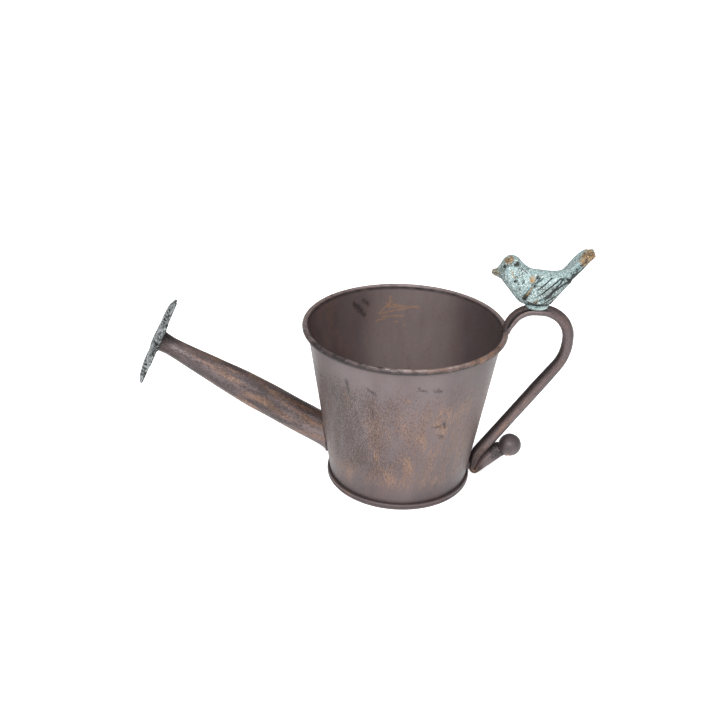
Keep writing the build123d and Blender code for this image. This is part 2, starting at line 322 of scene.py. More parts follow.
class Finish:
    """A material built around one Principled shader."""

    def __init__(self, name, **shader):
        self.material = bpy.data.materials.new(name)
        self.material.use_nodes = True
        self.tree = self.material.node_tree
        self.tree.nodes.clear()
        self.shader = self.node("ShaderNodeBsdfPrincipled", {}, shader)
        self.node("ShaderNodeOutputMaterial", {}, {"Surface": self.shader.outputs[0]})

    def node(self, kind, settings, inputs):
        """Adds a node: its type, its settings, then the values or links of its sockets."""
        node = self.tree.nodes.new(kind)
        for key, setting in settings.items():
            setattr(node, key, setting)
        for key, given in inputs.items():
            socket = node.inputs[key]
            link = given.socket if isinstance(given, Signal) else given
            if isinstance(link, bpy.types.NodeSocket):
                self.tree.links.new(link, socket)
            else:
                socket.default_value = link
        return node

    def number(self, kind, settings, inputs, output=0):
        """Adds a node and gives one of its outputs to reckon with."""
        return Signal(self, self.node(kind, settings, inputs).outputs[output])

    def attribute(self, name):
        """A number painted on the piece's points."""
        return self.number("ShaderNodeAttribute", {"attribute_name": name}, {}, "Fac")

    def grain(self):
        """The piece's own grain direction: its third coordinate runs with the strokes."""
        return self.node("ShaderNodeAttribute", {"attribute_name": "grain"}, {}).outputs["Vector"]

    def place(self):
        """Position in the can's frame, in metres."""
        return self.node("ShaderNodeTexCoord", {}, {}).outputs["Object"]

    def stretched(self, vector, scale, offset=(0, 0, 0)):
        inputs = {"Vector": vector, "Scale": scale, "Location": offset}
        return self.node("ShaderNodeMapping", {}, inputs).outputs[0]

    def noise(self, vector, scale=1.0, detail=3.0, rough=0.55):
        inputs = {"Vector": vector, "Scale": scale, "Detail": detail, "Roughness": rough}
        return self.number("ShaderNodeTexNoise", {}, inputs, "Fac")

    def cracks(self, vector):
        """Distance to the edge of the nearest cell."""
        settings = {"feature": "DISTANCE_TO_EDGE"}
        return self.number("ShaderNodeTexVoronoi", settings, {"Vector": vector, "Scale": 1.0}, "Distance")

    def vector(self, operation, *values):
        """Vector arithmetic: a vector comes out, or a number from DOT_PRODUCT and LENGTH."""
        made = self.node("ShaderNodeVectorMath", {"operation": operation}, dict(enumerate(values)))
        return made.outputs["Value" if operation in ("DOT_PRODUCT", "LENGTH") else "Vector"]

    def mark(self, place, start, end, width):
        """1 on a straight mark between two points, soft at its edges."""
        way = Vector(end) - Vector(start)
        arm = self.vector("SUBTRACT", place, start)
        share = Signal(self, self.vector("DOT_PRODUCT", arm, way / way.length_squared)).most(0.0).least(1.0)
        gap = self.vector("LENGTH", self.vector("SUBTRACT", arm, self.vector("MULTIPLY", way, share)))
        return Signal(self, gap).ramp(0.25 * width, width, 1.0, 0.0)

    def blend(self, factor, low, high):
        """Mixes two colours, each a web colour or a node's."""
        inputs = {0: factor, 6: tint(low), 7: tint(high)}
        return self.node("ShaderNodeMix", {"data_type": "RGBA"}, inputs).outputs[2]

    def dressed(self, colour, roughness, relief=None, strength=0.5, depth=0.0004):
        """The material with its colour, its roughness and the relief of its bumps linked."""
        links = {"Base Color": colour, "Roughness": roughness.socket}
        if relief:
            inputs = {"Height": relief, "Strength": strength, "Distance": depth}
            links["Normal"] = self.node("ShaderNodeBump", {}, inputs).outputs[0]
        for name, link in links.items():
            self.tree.links.new(link, self.shader.inputs[name])
        return self.material


# ---------------------------------------------------------------- finishes
# Ends of the bare strokes inside the back of the pot, as (across, up) in millimetres.
INNER_SCRATCHES = (
    ((-14, 117), (-14.6, 107.5)), ((-22, 104), (-12.5, 113.5)), ((-17, 112), (-4, 109)),
    ((-20.5, 103.5), (1, 108)), ((-14, 108.5), (9, 109.5)), ((-24, 98), (-17.5, 99.5)),
    ((-19.5, 101), (-3, 101.5)), ((-9, 96.5), (-7.5, 96)), ((-3, 93.5), (-1.5, 94)))
SCRATCH_WIDTH = 1.1


def bronze_finish(name, scratches=()):
    """Mauve-brown bronze paint on sheet steel, rubbed through to copper along its grain, with painted light
    and shade over it.
    """
    f = Finish(name, **{"Metallic": 0.3, "Specular IOR Level": 0.55})
    grain = f.grain()
    rub, soot, shade, scratch = [f.attribute(key) for key in ("rub", "soot", "shade", "scratch")]
    clouds = f.noise(f.stretched(grain, (0.035, 0.035, 0.014)), detail=4)
    broad = f.noise(f.stretched(grain, (0.16, 0.16, 0.035), (3, 1, 2)), detail=4, rough=0.6)
    strokes = f.noise(f.stretched(grain, (1.6, 1.6, 0.14), (7, 5, 3)), detail=5, rough=0.7)
    fine = f.noise(f.stretched(grain, (3.0, 3.0, 0.4)), detail=4, rough=0.7)
    specks = f.noise(f.stretched(grain, (1.9, 1.9, 0.6), (1, 9, 4)), detail=3, rough=0.65)
    body = f.blend(clouds.ramp(0.3, 0.72), "534749", "63585a")
    body = f.blend(fine.ramp(0.4, 0.75) * 0.35, body, "7d6e6c")
    # Painted light and shade: below zero the shade amount lightens the paint as painted light, above zero
    # it darkens it as painted shade.
    body = f.blend((shade * -1.0).least(1.0), body, "a8978f")
    body = f.blend(shade.least(1.0), body, "2f2526")
    brown = (strokes + (broad - 0.5) * 0.6 + rub * 0.26).ramp(0.5, 0.74)
    body = f.blend((brown * (0.15 + 0.8 * rub)).least(0.85), body, "69524a")
    worn = rub + scratch * 0.3
    bright = (strokes * 0.6 + fine * 0.6 + (broad - 0.5) * 0.5 + worn * 0.34).ramp(0.8, 1.0)
    body = f.blend((bright * worn).least(0.72), body, "8c6a52")
    if scratches:
        flat = f.stretched(f.place(), (1 / MM, 0, 1 / MM))
        bare = f.attribute("bare")
        drawn = 0.0
        for (start, foot), (end, top) in scratches:
            drawn = f.mark(flat, (start, 0, foot), (end, 0, top), SCRATCH_WIDTH).most(drawn)
        patchy = ((fine - 0.5) * 2.6 + (specks - 0.5) * 3.0 + 0.5).ramp(0.1, 0.9)
        body = f.blend(drawn * bare * (0.05 + 0.8 * patchy), body, "a27958")
    # Black specks, set more thickly where the soot amount also stands for painted shade.
    dark = (specks + (broad - 0.5) * 0.4 + (fine - 0.5) * 0.6 + soot * 0.42).ramp(0.66, 0.86)
    body = f.blend((dark * (0.1 + 0.9 * soot)).least(0.92), body, "1b1415")
    return f.dressed(body, 0.32 + 0.2 * fine + 0.12 * dark, fine * 0.7 + strokes * 0.6 - dark * 0.3)


def bird_finish():
    """Duck-egg blue over black, crackled and worn, rubbed to ochre on the high points."""
    f = Finish("bird_paint", **{"Specular IOR Level": 0.4})
    place = f.place()
    groove, beak, soot, rub = [f.attribute(key) for key in ("groove", "beak", "soot", "rub")]
    large = f.noise(place, 110, detail=3)
    medium = f.noise(place, 380, detail=4, rough=0.6)
    small = f.noise(place, 1300, detail=3, rough=0.65)
    crackle = f.cracks(f.stretched(place, (520, 520, 520)))
    body = f.blend(medium.ramp(0.35, 0.65), "778d8e", "95aaa9")
    body = f.blend(large.ramp(0.45, 0.7) * 0.55, body, "85918b")
    body = f.blend(small.ramp(0.54, 0.64) * 0.85, body, "e6ecea")
    body = f.blend(small.ramp(0.46, 0.36) * 0.7, body, "435254")
    body = f.blend((soot + (medium - 0.5) * 0.8).ramp(0.1, 0.9) * 0.45, body, "6d6b60")
    ochre = (rub * 0.75 + (medium - 0.5) * 1.8 + (small - 0.5) * 1.4).ramp(0.4, 0.62)
    body = f.blend(ochre * 0.9, body, f.blend(small.ramp(0.4, 0.6), "72522c", "a88758"))
    body = f.blend(beak * 0.9, body, f.blend(small.ramp(0.35, 0.6), "55503f", "8b8470"))
    lines = crackle.ramp(0.11, 0.03) * (large + (medium - 0.5) * 1.6 + soot * 0.6).ramp(0.44, 0.6)
    specks = small.ramp(0.42, 0.34) * medium.ramp(0.45, 0.6)
    black = (groove * 0.95 + soot * 0.5 + (small - 0.5) * 1.8 + (medium - 0.5) * 1.4).ramp(0.46, 0.6)
    black = black.most(lines * 0.9).most(specks * 0.9)
    body = f.blend(black * 0.97, body, "101416")
    relief = medium * 0.5 + small * 0.6 - black * 0.6
    return f.dressed(body, 0.45 + 0.3 * small, relief, strength=0.6, depth=0.0005)


def casting_finish():
    """Blackened casting whose high points are rubbed grey-green."""
    f = Finish("verdigris_casting", **{"Metallic": 0.3, "Specular IOR Level": 0.5})
    place = f.place()
    relief = f.attribute("relief")
    medium = f.noise(place, 420, detail=3)
    small = f.noise(place, 1500, detail=3, rough=0.6)
    high = (relief + (medium - 0.5) * 0.7 + (small - 0.5) * 0.9).ramp(0.34, 0.72)
    body = f.blend(high, "151817", f.blend(medium.ramp(0.4, 0.62), "75787a", "a1a6a7"))
    body = f.blend((high * small.ramp(0.6, 0.72)) * 0.5, body, "c3cecb")
    return f.dressed(body, 0.4 + 0.25 * medium, medium * 0.4 + small * 0.6)


def wire_finish():
    """Bare drawn steel wire."""
    f = Finish("drawn_steel", **{"Metallic": 1.0, "Specular IOR Level": 0.5})
    marks = f.noise(f.place(), 900, detail=3)
    return f.dressed(f.blend(marks.ramp(0.4, 0.7), "8c8d90", "6b6560"), 0.35 + 0.25 * marks)


def sealant_finish():
    """Matt black sealing compound."""
    f = Finish("sealing_compound", **{"Specular IOR Level": 0.2})
    marks = f.noise(f.place(), 500, detail=3)
    return f.dressed(f.blend(marks, "1c1d1e", "2c2d2e"), 0.7 + 0.2 * marks)


FINISHES = {
    "bronze": bronze_finish("bronze_paint"),
    "scratched": bronze_finish("bronze_paint_scratched", INNER_SCRATCHES),
    "bird": bird_finish(),
    "casting": casting_finish(),
    "wire": wire_finish(),
    "sealant": sealant_finish()}


# ---------------------------------------------------------------- paint formulas
def patches(spots, point):
    """Strongest of several soft round patches, each (centre, radius, strength)."""
    best = 0.0
    for centre, radius, strength in spots:
        gap = (point - Vector(centre)).length / radius
        best = max(best, strength * (1 - ease(gap, 0.25, 1.0)))
    return best


# Ends of the brush marks on the wall, as (turn in degrees, height in millimetres).
INNER_BLACK = (((127, 115), (123, 108)), ((120, 116), (117, 113)), ((124, 112), (120, 104)))
OUTER_BLACK = (
    ((-123, 108), (-122, 98)), ((-109, 105), (-104, 102)), ((-67, 75), (-62, 74)), ((-60, 77), (-59, 72)),
    ((-63, 66), (-60, 65)), ((-79, 109), (-75, 107)), ((-70, 107), (-66, 106)), ((-118, 84), (-117, 74)),
    ((-107, 90), (-106, 82)))
OUTER_COPPER = (
    ((-85, 101), (-84, 90)), ((-64, 98), (-62, 87)), ((-66, 77), (-61, 70)), ((-57, 84), (-55, 79)),
    ((-74, 65), (-68, 50)), ((-109, 56), (-104, 44)), ((-82, 46), (-78, 36)), ((-112, 76), (-110, 67)),
    ((-95, 70), (-93, 60)), ((-125, 98), (-123, 88)), ((-98, 36), (-93, 26)), ((-88, 82), (-87, 74)))


def is_inside(point):
    """Whether a point of the wall's sheet is on its inside face."""
    return point.xy.length < wall_radius(point.z) - SHEET / 2 and point.z < BEAD_HEIGHT


def line_gap(point, start, end):
    """Distance from a flat point to a flat line between two others."""
    ax, az = end[0] - start[0], end[1] - start[1]
    px, pz = point[0] - start[0], point[1] - start[1]
    share = min(max((px * ax + pz * az) / (ax * ax + az * az), 0.0), 1.0)
    return math.hypot(px - share * ax, pz - share * az)


def stroke(point, marks, width):
    """1 on a brush mark of the wall, fading beside it."""
    turn = math.atan2(point.y, point.x)
    radius = point.xy.length
    best = 0.0
    for (turn_a, z_a), (turn_b, z_b) in marks:
        middle = math.radians((turn_a + turn_b) / 2)
        half = math.radians(turn_b - turn_a) / 2 * radius
        flat = (math.remainder(turn - middle, TAU) * radius, point.z)
        if abs(flat[0]) < abs(half) + 4 * width:
            best = max(best, hump(line_gap(flat, (-half, z_a), (half, z_b)), 0, width))
    return best


def pot_scratch(point):
    """Soft copper strokes on the outside of the wall."""
    return 0.0 if is_inside(point) else stroke(point, OUTER_COPPER, 4.0)


def pot_bare(point):
    """Where the bare strokes inside the back of the pot may show."""
    return 1.0 if is_inside(point) and point.y > 20 else 0.0


def rim_turn(point, degrees, spread):
    """1 at a turn round the pot, fading away from it on both sides."""
    gap = math.remainder(math.atan2(point.y, point.x) - math.radians(degrees), TAU)
    return hump(gap, 0, math.radians(spread))


def on_rim(point, below=0.2):
    """Whether a point is on the rolled rim, or up to a little below it."""
    return point.z > BEAD_HEIGHT - RIM_BEAD / 2 - below and not is_inside(point)


def pot_rub(point):
    """Copper shows on the rolled rim and in a broad rubbed band round the wall."""
    x, y, z = point
    if on_rim(point):
        return 0.35 + 0.45 * rim_turn(point, -45, 30) + 0.45 * wobble(point, 6)
    if is_inside(point):
        return 0.16 + 0.34 * ease(-x, 20, 60)
    band = ease(z, 6, 26) * (1 - ease(z, 84, 112))
    return 0.16 + 0.42 * band * (1.0 + 0.5 * wobble(Vector((x, y, 0.35 * z)), 17))


def pot_soot(point):
    """Black lies in the brush marks and in a band round the wall; low on the rim it is a painted shadow
    under the bead, and the extra dark at the front left is partly painted shade.
    """
    z = point.z
    if is_inside(point):
        return max(0.2, 0.8 * stroke(point, INNER_BLACK, 3.0))
    if on_rim(point, 1.2):
        # Painted shadow on the underside of the rolled rim.
        low = 1 - ease(z, BEAD_HEIGHT - 1.0, BEAD_HEIGHT + 1.2)
        return 0.4 + 0.6 * low + 0.5 * rim_turn(point, -130, 35) + 0.4 * wobble(point, 4)
    # The front left is darker, partly as painted shade.
    left_front = rim_turn(point, -130, 40)
    band = ease(z, 12, 40) * (1 - ease(z, 92, 116))
    return max(0.22 + 0.2 * band + 0.3 * left_front * band, 0.85 * stroke(point, OUTER_BLACK, 2.1))


def pot_shade(point):
    """Painted shade inside the sides, low down, to the right and left, on the rim and just under it;
    painted light inside the back and a painted highlight along the rim's top.
    """
    x, y, z = point
    if is_inside(point):
        # Inside: painted light at the back, painted shade towards the sides.
        return -0.26 + 0.5 * ease(abs(x - 5), 24, 62) + 0.05 * ease(z, 80, 120)
    if on_rim(point, 1.2):
        # On the rim: painted shade, lifted by a painted highlight along its top, stronger in patches at the
        # front right.
        painted_rim_highlight = hump(z, BEAD_HEIGHT + 1.9, 0.9)
        patch = rim_turn(point, -80, 32) * ease(wobble(point, 3.5), -0.15, 0.25)
        return 0.6 + 0.2 * rim_turn(point, -130, 35) - painted_rim_highlight * (0.95 + 0.5 * patch)
    # Outside: painted shade low down, at the front right and front left, and just under the rim.
    turn = math.degrees(math.atan2(y, x))
    aside = 0.44 * ease(turn, -86, -35) * (y < 0) + 0.32 * ease(-turn, 98, 135)
    return 0.36 * (1 - ease(z, 8, 80)) + aside + 0.08 * ease(z, 112, 122)


def pot_grain(point):
    """Strokes run up the wall, leaning a little, and round the rim."""
    turn = math.atan2(point.y, point.x)
    radius = point.xy.length
    if on_rim(point, 0.8):
        return Vector((radius, point.z, 0.8 * turn * radius))
    lean = 0.14 * point.z if point.y < 0 and not is_inside(point) else 0.0
    turn -= lean / radius
    return turned(radius, turn, point.z)


def as_is(point):
    return point


def spout_grain(point):
    """Straightened position, with the spout's length as the third coordinate."""
    arm = point - SPOUT_ROOT
    return Vector((arm.dot(SPOUT_SIDE), arm.y, arm.dot(SPOUT_WAY)))


def drawn_out(place, times):
    """A straightened position whose length is shortened, so that noise there makes long streaks."""
    return Vector((place.x, place.y, place.z * times))


def spout_rub(point):
    """Copper shows in long patches, less towards the rose."""
    place = spout_grain(point)
    patchy = ease(wobble(drawn_out(place, 1 / 5), 5), -0.3, 0.35)
    return 0.3 + (0.25 + 0.35 * (1 - ease(place.z, 95, 130))) * patchy


def spout_soot(point):
    """Black lies in streaks and in patches at the root; round the rose's end the dark is painted shade."""
    place = spout_grain(point)
    root = 1 - ease(place.z + 8, 4, 30)
    # Painted shade where the spout meets the rose.
    painted_shade_by_rose = ease(place.z, SPOUT_LENGTH - 5, SPOUT_LENGTH)
    streak = 0.5 + 0.5 * wobble(drawn_out(place, 1 / 6), 3, 3)
    return max(root * (0.45 + 0.6 * wobble(point, 4)), 0.9 * painted_shade_by_rose, 0.4 + 0.5 * streak - 0.25 * root)


def spout_shade(point):
    """Painted highlight in a lighter band along each flank and at the root, with painted shade above and
    below it.
    """
    place = spout_grain(point)
    up = place.x / max(math.hypot(place.x, place.y), 1.0)
    streak = wobble(drawn_out(place, 1 / 9), 2.5, 4)
    root = 1 - ease(place.z, 8, 45)
    flank = ease(abs(up - 0.42 + 0.12 * streak), 0.22, 0.8)
    return (0.6 - 0.35 * root) * flank + 0.15 * streak - 0.15 * root


# ---------------------------------------------------------------- pot
def pot_wall_piece():
    """Tapered wall whose top is rolled outwards round a wire and whose foot is hooked into the seam."""
    low = [SHEET + (BEAD_HEIGHT - SHEET) * step / 60 for step in range(61)]
    inner = [(wall_radius(z) - SHEET, z) for z in low]
    curl_out = [(RIM_BEAD / 2, math.radians(180 - 304 * step / 30)) for step in range(1, 31)]
    curl_in = [(RIM_BEAD / 2 - SHEET, math.radians(-124 + 300 * step / 24)) for step in range(25)]
    curl = [(BEAD_AXIS + r * math.cos(a), BEAD_HEIGHT + r * math.sin(a)) for r, a in curl_out + curl_in]
    outer = [(wall_radius(z), z) for z in reversed(low[3:-1])]
    hook = SEAM_RADIUS - SHEET
    foot = [
        (wall_radius(2 * SHEET), 2 * SHEET), (hook - SHEET, 2 * SHEET), (hook - SHEET, SEAM_HEIGHT - SHEET),
        (hook, SEAM_HEIGHT - SHEET), (hook, SHEET)]
    profile = inner + curl + outer + foot

    def place(row, angle):
        radius, z = profile[row]
        spot = turned(1, angle, z / 40)
        radius += 0.16 * wobble(spot, 0.45, 3) * ease(z, 8, 40)
        if z > BEAD_HEIGHT - 3:
            radius += 0.1 * wobble(spot, 0.07, 7)
        return turned(radius, angle, z)

    bm = skin(len(profile), 360, place, loop=True)
    piece = finish_piece("pot_wall_sheet", bm, "scratched", "pot_wall", {
        "grain": pot_grain, "rub": pot_rub, "soot": pot_soot, "shade": pot_shade,
        "scratch": pot_scratch, "bare": pot_bare})
    cut_bore(piece)
    return piece


def cut_bore(piece):
    """Opens the wall where the spout meets it, with a round cutter that is removed again."""
    radius = (along(SPOUT_RADII, 0) - SHEET) * MM
    turn = SPOUT_WAY.to_track_quat("Z", "Y").to_matrix().to_4x4()
    place = Matrix.Translation(SPOUT_ROOT * MM) @ turn
    bm = bmesh.new()
    bmesh.ops.create_cone(
        bm, cap_ends=True, segments=64, radius1=radius, radius2=radius, depth=BORE_CUT * MM, matrix=place)
    cutter = stand("bore_cutter", mesh_from("bore_cutter", bm))
    step = piece.modifiers.new("cut", "BOOLEAN")
    step.operation = "DIFFERENCE"
    step.solver = "EXACT"
    step.object = cutter
    bored = bpy.data.meshes.new_from_object(piece.evaluated_get(bpy.context.evaluated_depsgraph_get()))
    piece.modifiers.clear()
    whole = piece.data
    name = whole.name
    piece.data = bored
    bpy.data.meshes.remove(whole)
    bored.name = name
    bpy.data.objects.remove(cutter)


def base_piece():
    """Raised panel, its foot ring and the skirt that folds over the wall's hook."""
    inner = wall_radius(SHEET) - SHEET
    top_out = wall_radius(SEAM_HEIGHT)
    hook_top = SEAM_HEIGHT - SHEET
    panel_top = PANEL_HEIGHT + SHEET
    skirt = SEAM_RADIUS
    panel = (POLE, 15, 30, 44)
    profile = [(radius, PANEL_HEIGHT) for radius in panel]
    profile += rounded((inner - SHEET, PANEL_HEIGHT), 0.9, 90, 0, inwards=True)
    profile += rounded((inner - SHEET, 0), 0.6, 180, 270)
    profile += rounded((skirt, 0), 1.0, 270, 360)
    profile += [(skirt + 0.05, 1.6), (skirt + 0.02, 2.2), (skirt - 0.22, 2.6), (skirt - 0.02, 3.0)]
    profile += rounded((skirt, SEAM_HEIGHT), 0.8, 0, 90)
    profile += [
        (top_out + 0.6, SEAM_HEIGHT - 0.05), (top_out + 0.02, SEAM_HEIGHT - 0.1),
        (wall_radius(hook_top), hook_top), (skirt - SHEET, hook_top), (skirt - SHEET, SHEET),
        (inner, SHEET), (wall_radius(panel_top) - SHEET, panel_top)]
    profile += [(radius, panel_top) for radius in reversed(panel)]

    def place(row, angle):
        radius, z = profile[row]
        lift = 0.12 * wobble(turned(radius, angle, 0), 30) if radius < 48 else 0
        return turned(radius, angle, z + lift)

    def rub(point):
        if point.z < PANEL_HEIGHT - 0.5 or point.xy.length > SEAM_RADIUS - 1.5:
            return 0.25 + 0.35 * ease(wobble(point, 16), -0.1, 0.5)
        return 0.1

    # Painted shade in the seam's groove near the foot; the panel is evenly darker.
    def soot(point):
        return 0.55 if point.xy.length > SEAM_RADIUS - 1.5 and point.z < 2.9 else 0.2

    def shade(point):
        if point.xy.length > SEAM_RADIUS - 1.6:
            return 0.35 + 0.4 * hump(point.z, 2.6, 0.7)
        return 0.5

    return finish_piece("pot_base_panel", skin(len(profile), 256, place), "bronze", "pot_base", {
        "grain": lambda point: point.xzy, "rub": rub, "soot": soot, "shade": shade})


def rounded(corner, radius, start, end, inwards=False):
    """Points of a rounded profile corner, from one angle to another, in degrees."""
    x, z = corner
    middle = math.radians((start + end) / 2)
    side = math.sqrt(2) * radius
    cx, cz = x - side * math.cos(middle), z - side * math.sin(middle)
    if inwards:
        cx, cz = x - radius, z - radius
    steps = [math.radians(start + (end - start) * step / 4) for step in range(5)]
    return [(cx + radius * math.cos(a), cz + radius * math.sin(a)) for a in steps]


# ---------------------------------------------------------------- beads of weld
def bead(node, centre, size, **paint):
    """A lumpy bead of weld: centre(angle) gives its middle and two directions across it."""
    section = 14

    def place(row, around):
        middle, out, up = centre(around)
        angle = TAU * row / section
        thick = amount_at(size, around) * (1 + 0.16 * wobble(middle + out * math.cos(angle), 1.3, 5))
        return middle + (out * math.cos(angle) + up * math.sin(angle)) * thick

    painted = {"grain": as_is, "rub": 0.3, "soot": 0.7, "shade": 0.35, **paint}
    return finish_piece(node + "_bead", skin(section, 120, place, loop=True), "bronze", node, painted)


# ---------------------------------------------------------------- spout
def spout_radius(distance):
    return along(SPOUT_RADII, distance / SPOUT_LENGTH)


def spout_out(angle):
    """Direction away from the spout's axis."""
    return SPOUT_SIDE * math.cos(angle) + ACROSS * math.sin(angle)


def spout_point(distance, angle, radius):
    return SPOUT_ROOT + SPOUT_WAY * distance + spout_out(angle) * radius


@functools.cache
def spout_start(angle, inset=0.0):
    """Distance along the spout at which its skin reaches the wall."""
    low, high = -30.0, 60.0
    for _ in range(24):
        middle = (low + high) / 2
        point = spout_point(middle, angle, spout_radius(middle) - inset)
        if point.xy.length < wall_radius(point.z):
            low = middle
        else:
            high = middle
    return low


def spout_end(angle, radius):
    """Distance along the spout at which its skin reaches the rose's flat back."""
    return SPOUT_LENGTH - radius * spout_out(angle).dot(ROSE_WAY) / SPOUT_WAY.dot(ROSE_WAY)


def spout_piece():
    """Rolled tapering tube, cut to fit the wall and the back of the rose."""
    outside, inside = 90, 24

    def place(row, angle):
        outer = row < outside
        share = row / (outside - 1) if outer else 1 - (row - outside) / (inside - 1)
        inset = 0.0 if outer else SHEET
        start = spout_start(angle, inset)
        distance = start + share * (spout_end(angle, SPOUT_RADII[-1][1] - inset) - start)
        radius = spout_radius(distance) - inset
        if outer:
            under = max(0.0, -math.cos(angle))
            radius += 2.4 * under ** 2 * math.exp(-(distance - start) / 3.5)
            radius += 0.25 * wobble(turned(1, angle, distance / 25), 0.8, 11)
        return spout_point(distance, angle, radius)

    bm = skin(outside + inside, 120, place, loop=True)
    return finish_piece("spout_sheet_tube", bm, "bronze", "spout_tube", {
        "grain": lambda point: drawn_out(spout_grain(point), 0.8), "rub": spout_rub, "soot": spout_soot,
        "shade": spout_shade})


def spout_root_bead():
    """Bead round the spout's root, thicker below."""
    def centre(angle):
        distance = spout_start(angle)
        point = spout_point(distance, angle, spout_radius(distance))
        away = Vector((point.x, point.y, 0)).normalized()
        return point + spout_out(angle) * 0.5 + away * 0.35, spout_out(angle), SPOUT_WAY

    def size(angle):
        return 0.95 + 0.45 * max(0.0, -math.cos(angle))

    return bead(
        "spout_root_weld", centre, size, grain=spout_grain,
        soot=lambda point: 0.65 + 0.4 * wobble(point, 4), rub=lambda point: 0.5 + 0.6 * wobble(point, 5))


def rose_bead():
    """Bead between the spout's end and the back of the rose, made dark as painted shade."""
    def centre(angle):
        radius = SPOUT_RADII[-1][1]
        point = spout_point(spout_end(angle, radius), angle, radius)
        return point + spout_out(angle) * 0.3 - ROSE_WAY * 0.7, spout_out(angle), ROSE_WAY

    return bead("rose_weld", centre, 0.85, soot=0.95, rub=0.1, shade=0.8)


# ---------------------------------------------------------------- rose
def from_rib(angle):
    """0 on a petal's rib and 1 half way between two ribs."""
    return abs(math.remainder(angle * PETALS / TAU, 1)) * 2


def petal_edge(angle):
    """Distance from the flower's centre to its outline: pointed petals, evenly spaced."""
    return NOTCH_RADIUS + (ROSE_RADIUS - NOTCH_RADIUS) * (1 - from_rib(angle) ** 1.35)


def petal_face(angle, share):
    """Height of a petal and how proud the spot stands, at a share of the way to its edge."""
    aside = from_rib(angle)
    reach = share * petal_edge(angle)
    open_part = ease(reach, 9, 14) * (1 - ease(share, 0.84, 0.97))
    bowl = 1.6 + 3.0 * (1 - share ** 6)
    valley = 1.5 * ease(aside, 0.6, 1.0) * ease(reach, BOSS_RADIUS, 15)
    rib = hump(aside, 0.0, 0.1)
    vein = math.sin(TAU * (reach / 2.9 - 1.7 * aside)) * ease(aside, 0.06, 0.2)
    proud = rib + 0.6 * vein - 0.7 * ease(aside, 0.75, 1.0)
    return bowl - valley + (0.6 * rib + 0.36 * vein) * open_part, proud * open_part


def boss_face(x, z):
    """The boss about the spout's axis: its rise, how far a spot is in a spray hole, and its knobs."""
    reach = math.hypot(x, z - ROSE_DROP)
    dome = 0.9 * (1 - ease(reach, 4.0, BOSS_RADIUS))
    knobs = 0.4 * math.sin(2.1 * x + 0.6) * math.sin(2.1 * (z - ROSE_DROP)) * (1 - ease(reach, 8, 11))
    gap = min(math.dist((x, z - ROSE_DROP), spot) for spot in SPRAY_SPOTS)
    return dome + knobs, 1 - ease(gap, 0.75, 1.05), knobs


def rose_piece():
    """Cast flower with veined pointed petals and a perforated boss."""
    front, back = 130, 8
    memory = Memory({"relief": 0.4})

    def place(row, angle):
        if row < front:
            share = 0.0005 + 0.9995 * (row / (front - 1)) ** 0.9
        else:
            share = max(1 - (row - front) / (back - 1), 0.0005)
        reach = share * petal_edge(angle)
        x, z = reach * math.sin(angle), reach * math.cos(angle)
        height, proud = 0.0, -0.2
        if row < front:
            rise, hole, knobs = boss_face(x, z)
            grit = wobble((x, z, 0), 1.1) + 0.6 * wobble((x, z, 7), 0.5)
            height, proud = petal_face(angle, share)
            height = (height + rise + 0.13 * grit) * (1 - hole) + 0.6 * hole
            proud = (proud + 1.5 * knobs + 0.35 * grit) * (1 - hole) - 1.2 * hole
        spot = ROSE_CENTRE + ROSE_ASIDE * x + ROSE_UP * z + ROSE_WAY * height
        memory.keep(spot, {"relief": 0.5 + 0.5 * proud})
        return spot

    bm = skin(front + back, 400, place)
    return finish_piece("rose_cast_flower", bm, "casting", "rose_flower", memory.paint(), sharp=50)


# ---------------------------------------------------------------- handle
def bent_line(corners, bends):
    """Points about 1 mm apart along straight runs joined by arcs."""
    points = [corners[0]]
    for index, bend in enumerate(bends, 1):
        here = corners[index]
        back = (corners[index - 1] - here).normalized()
        ahead = (corners[index + 1] - here).normalized()
        half = 0.5 * back.angle(ahead)
        middle = here + (back + ahead).normalized() * bend / math.sin(half)
        start = here + back * bend / math.tan(half)
        points += straight(points[-1], start)[:-1]
        first, sweep = start - middle, math.pi - 2 * half
        axis = back.cross(ahead).normalized()
        steps = max(6, round(bend * sweep))
        turns = [Matrix.Rotation(-sweep * step / steps, 3, axis) for step in range(steps + 1)]
        points += [middle + turn @ first for turn in turns]
    return points + straight(points[-1], corners[-1])


def straight(start, end):
    """Points about 1 mm apart from just past the start to the end."""
    steps = max(2, round((end - start).length))
    return [start.lerp(end, step / steps) for step in range(1, steps + 1)]


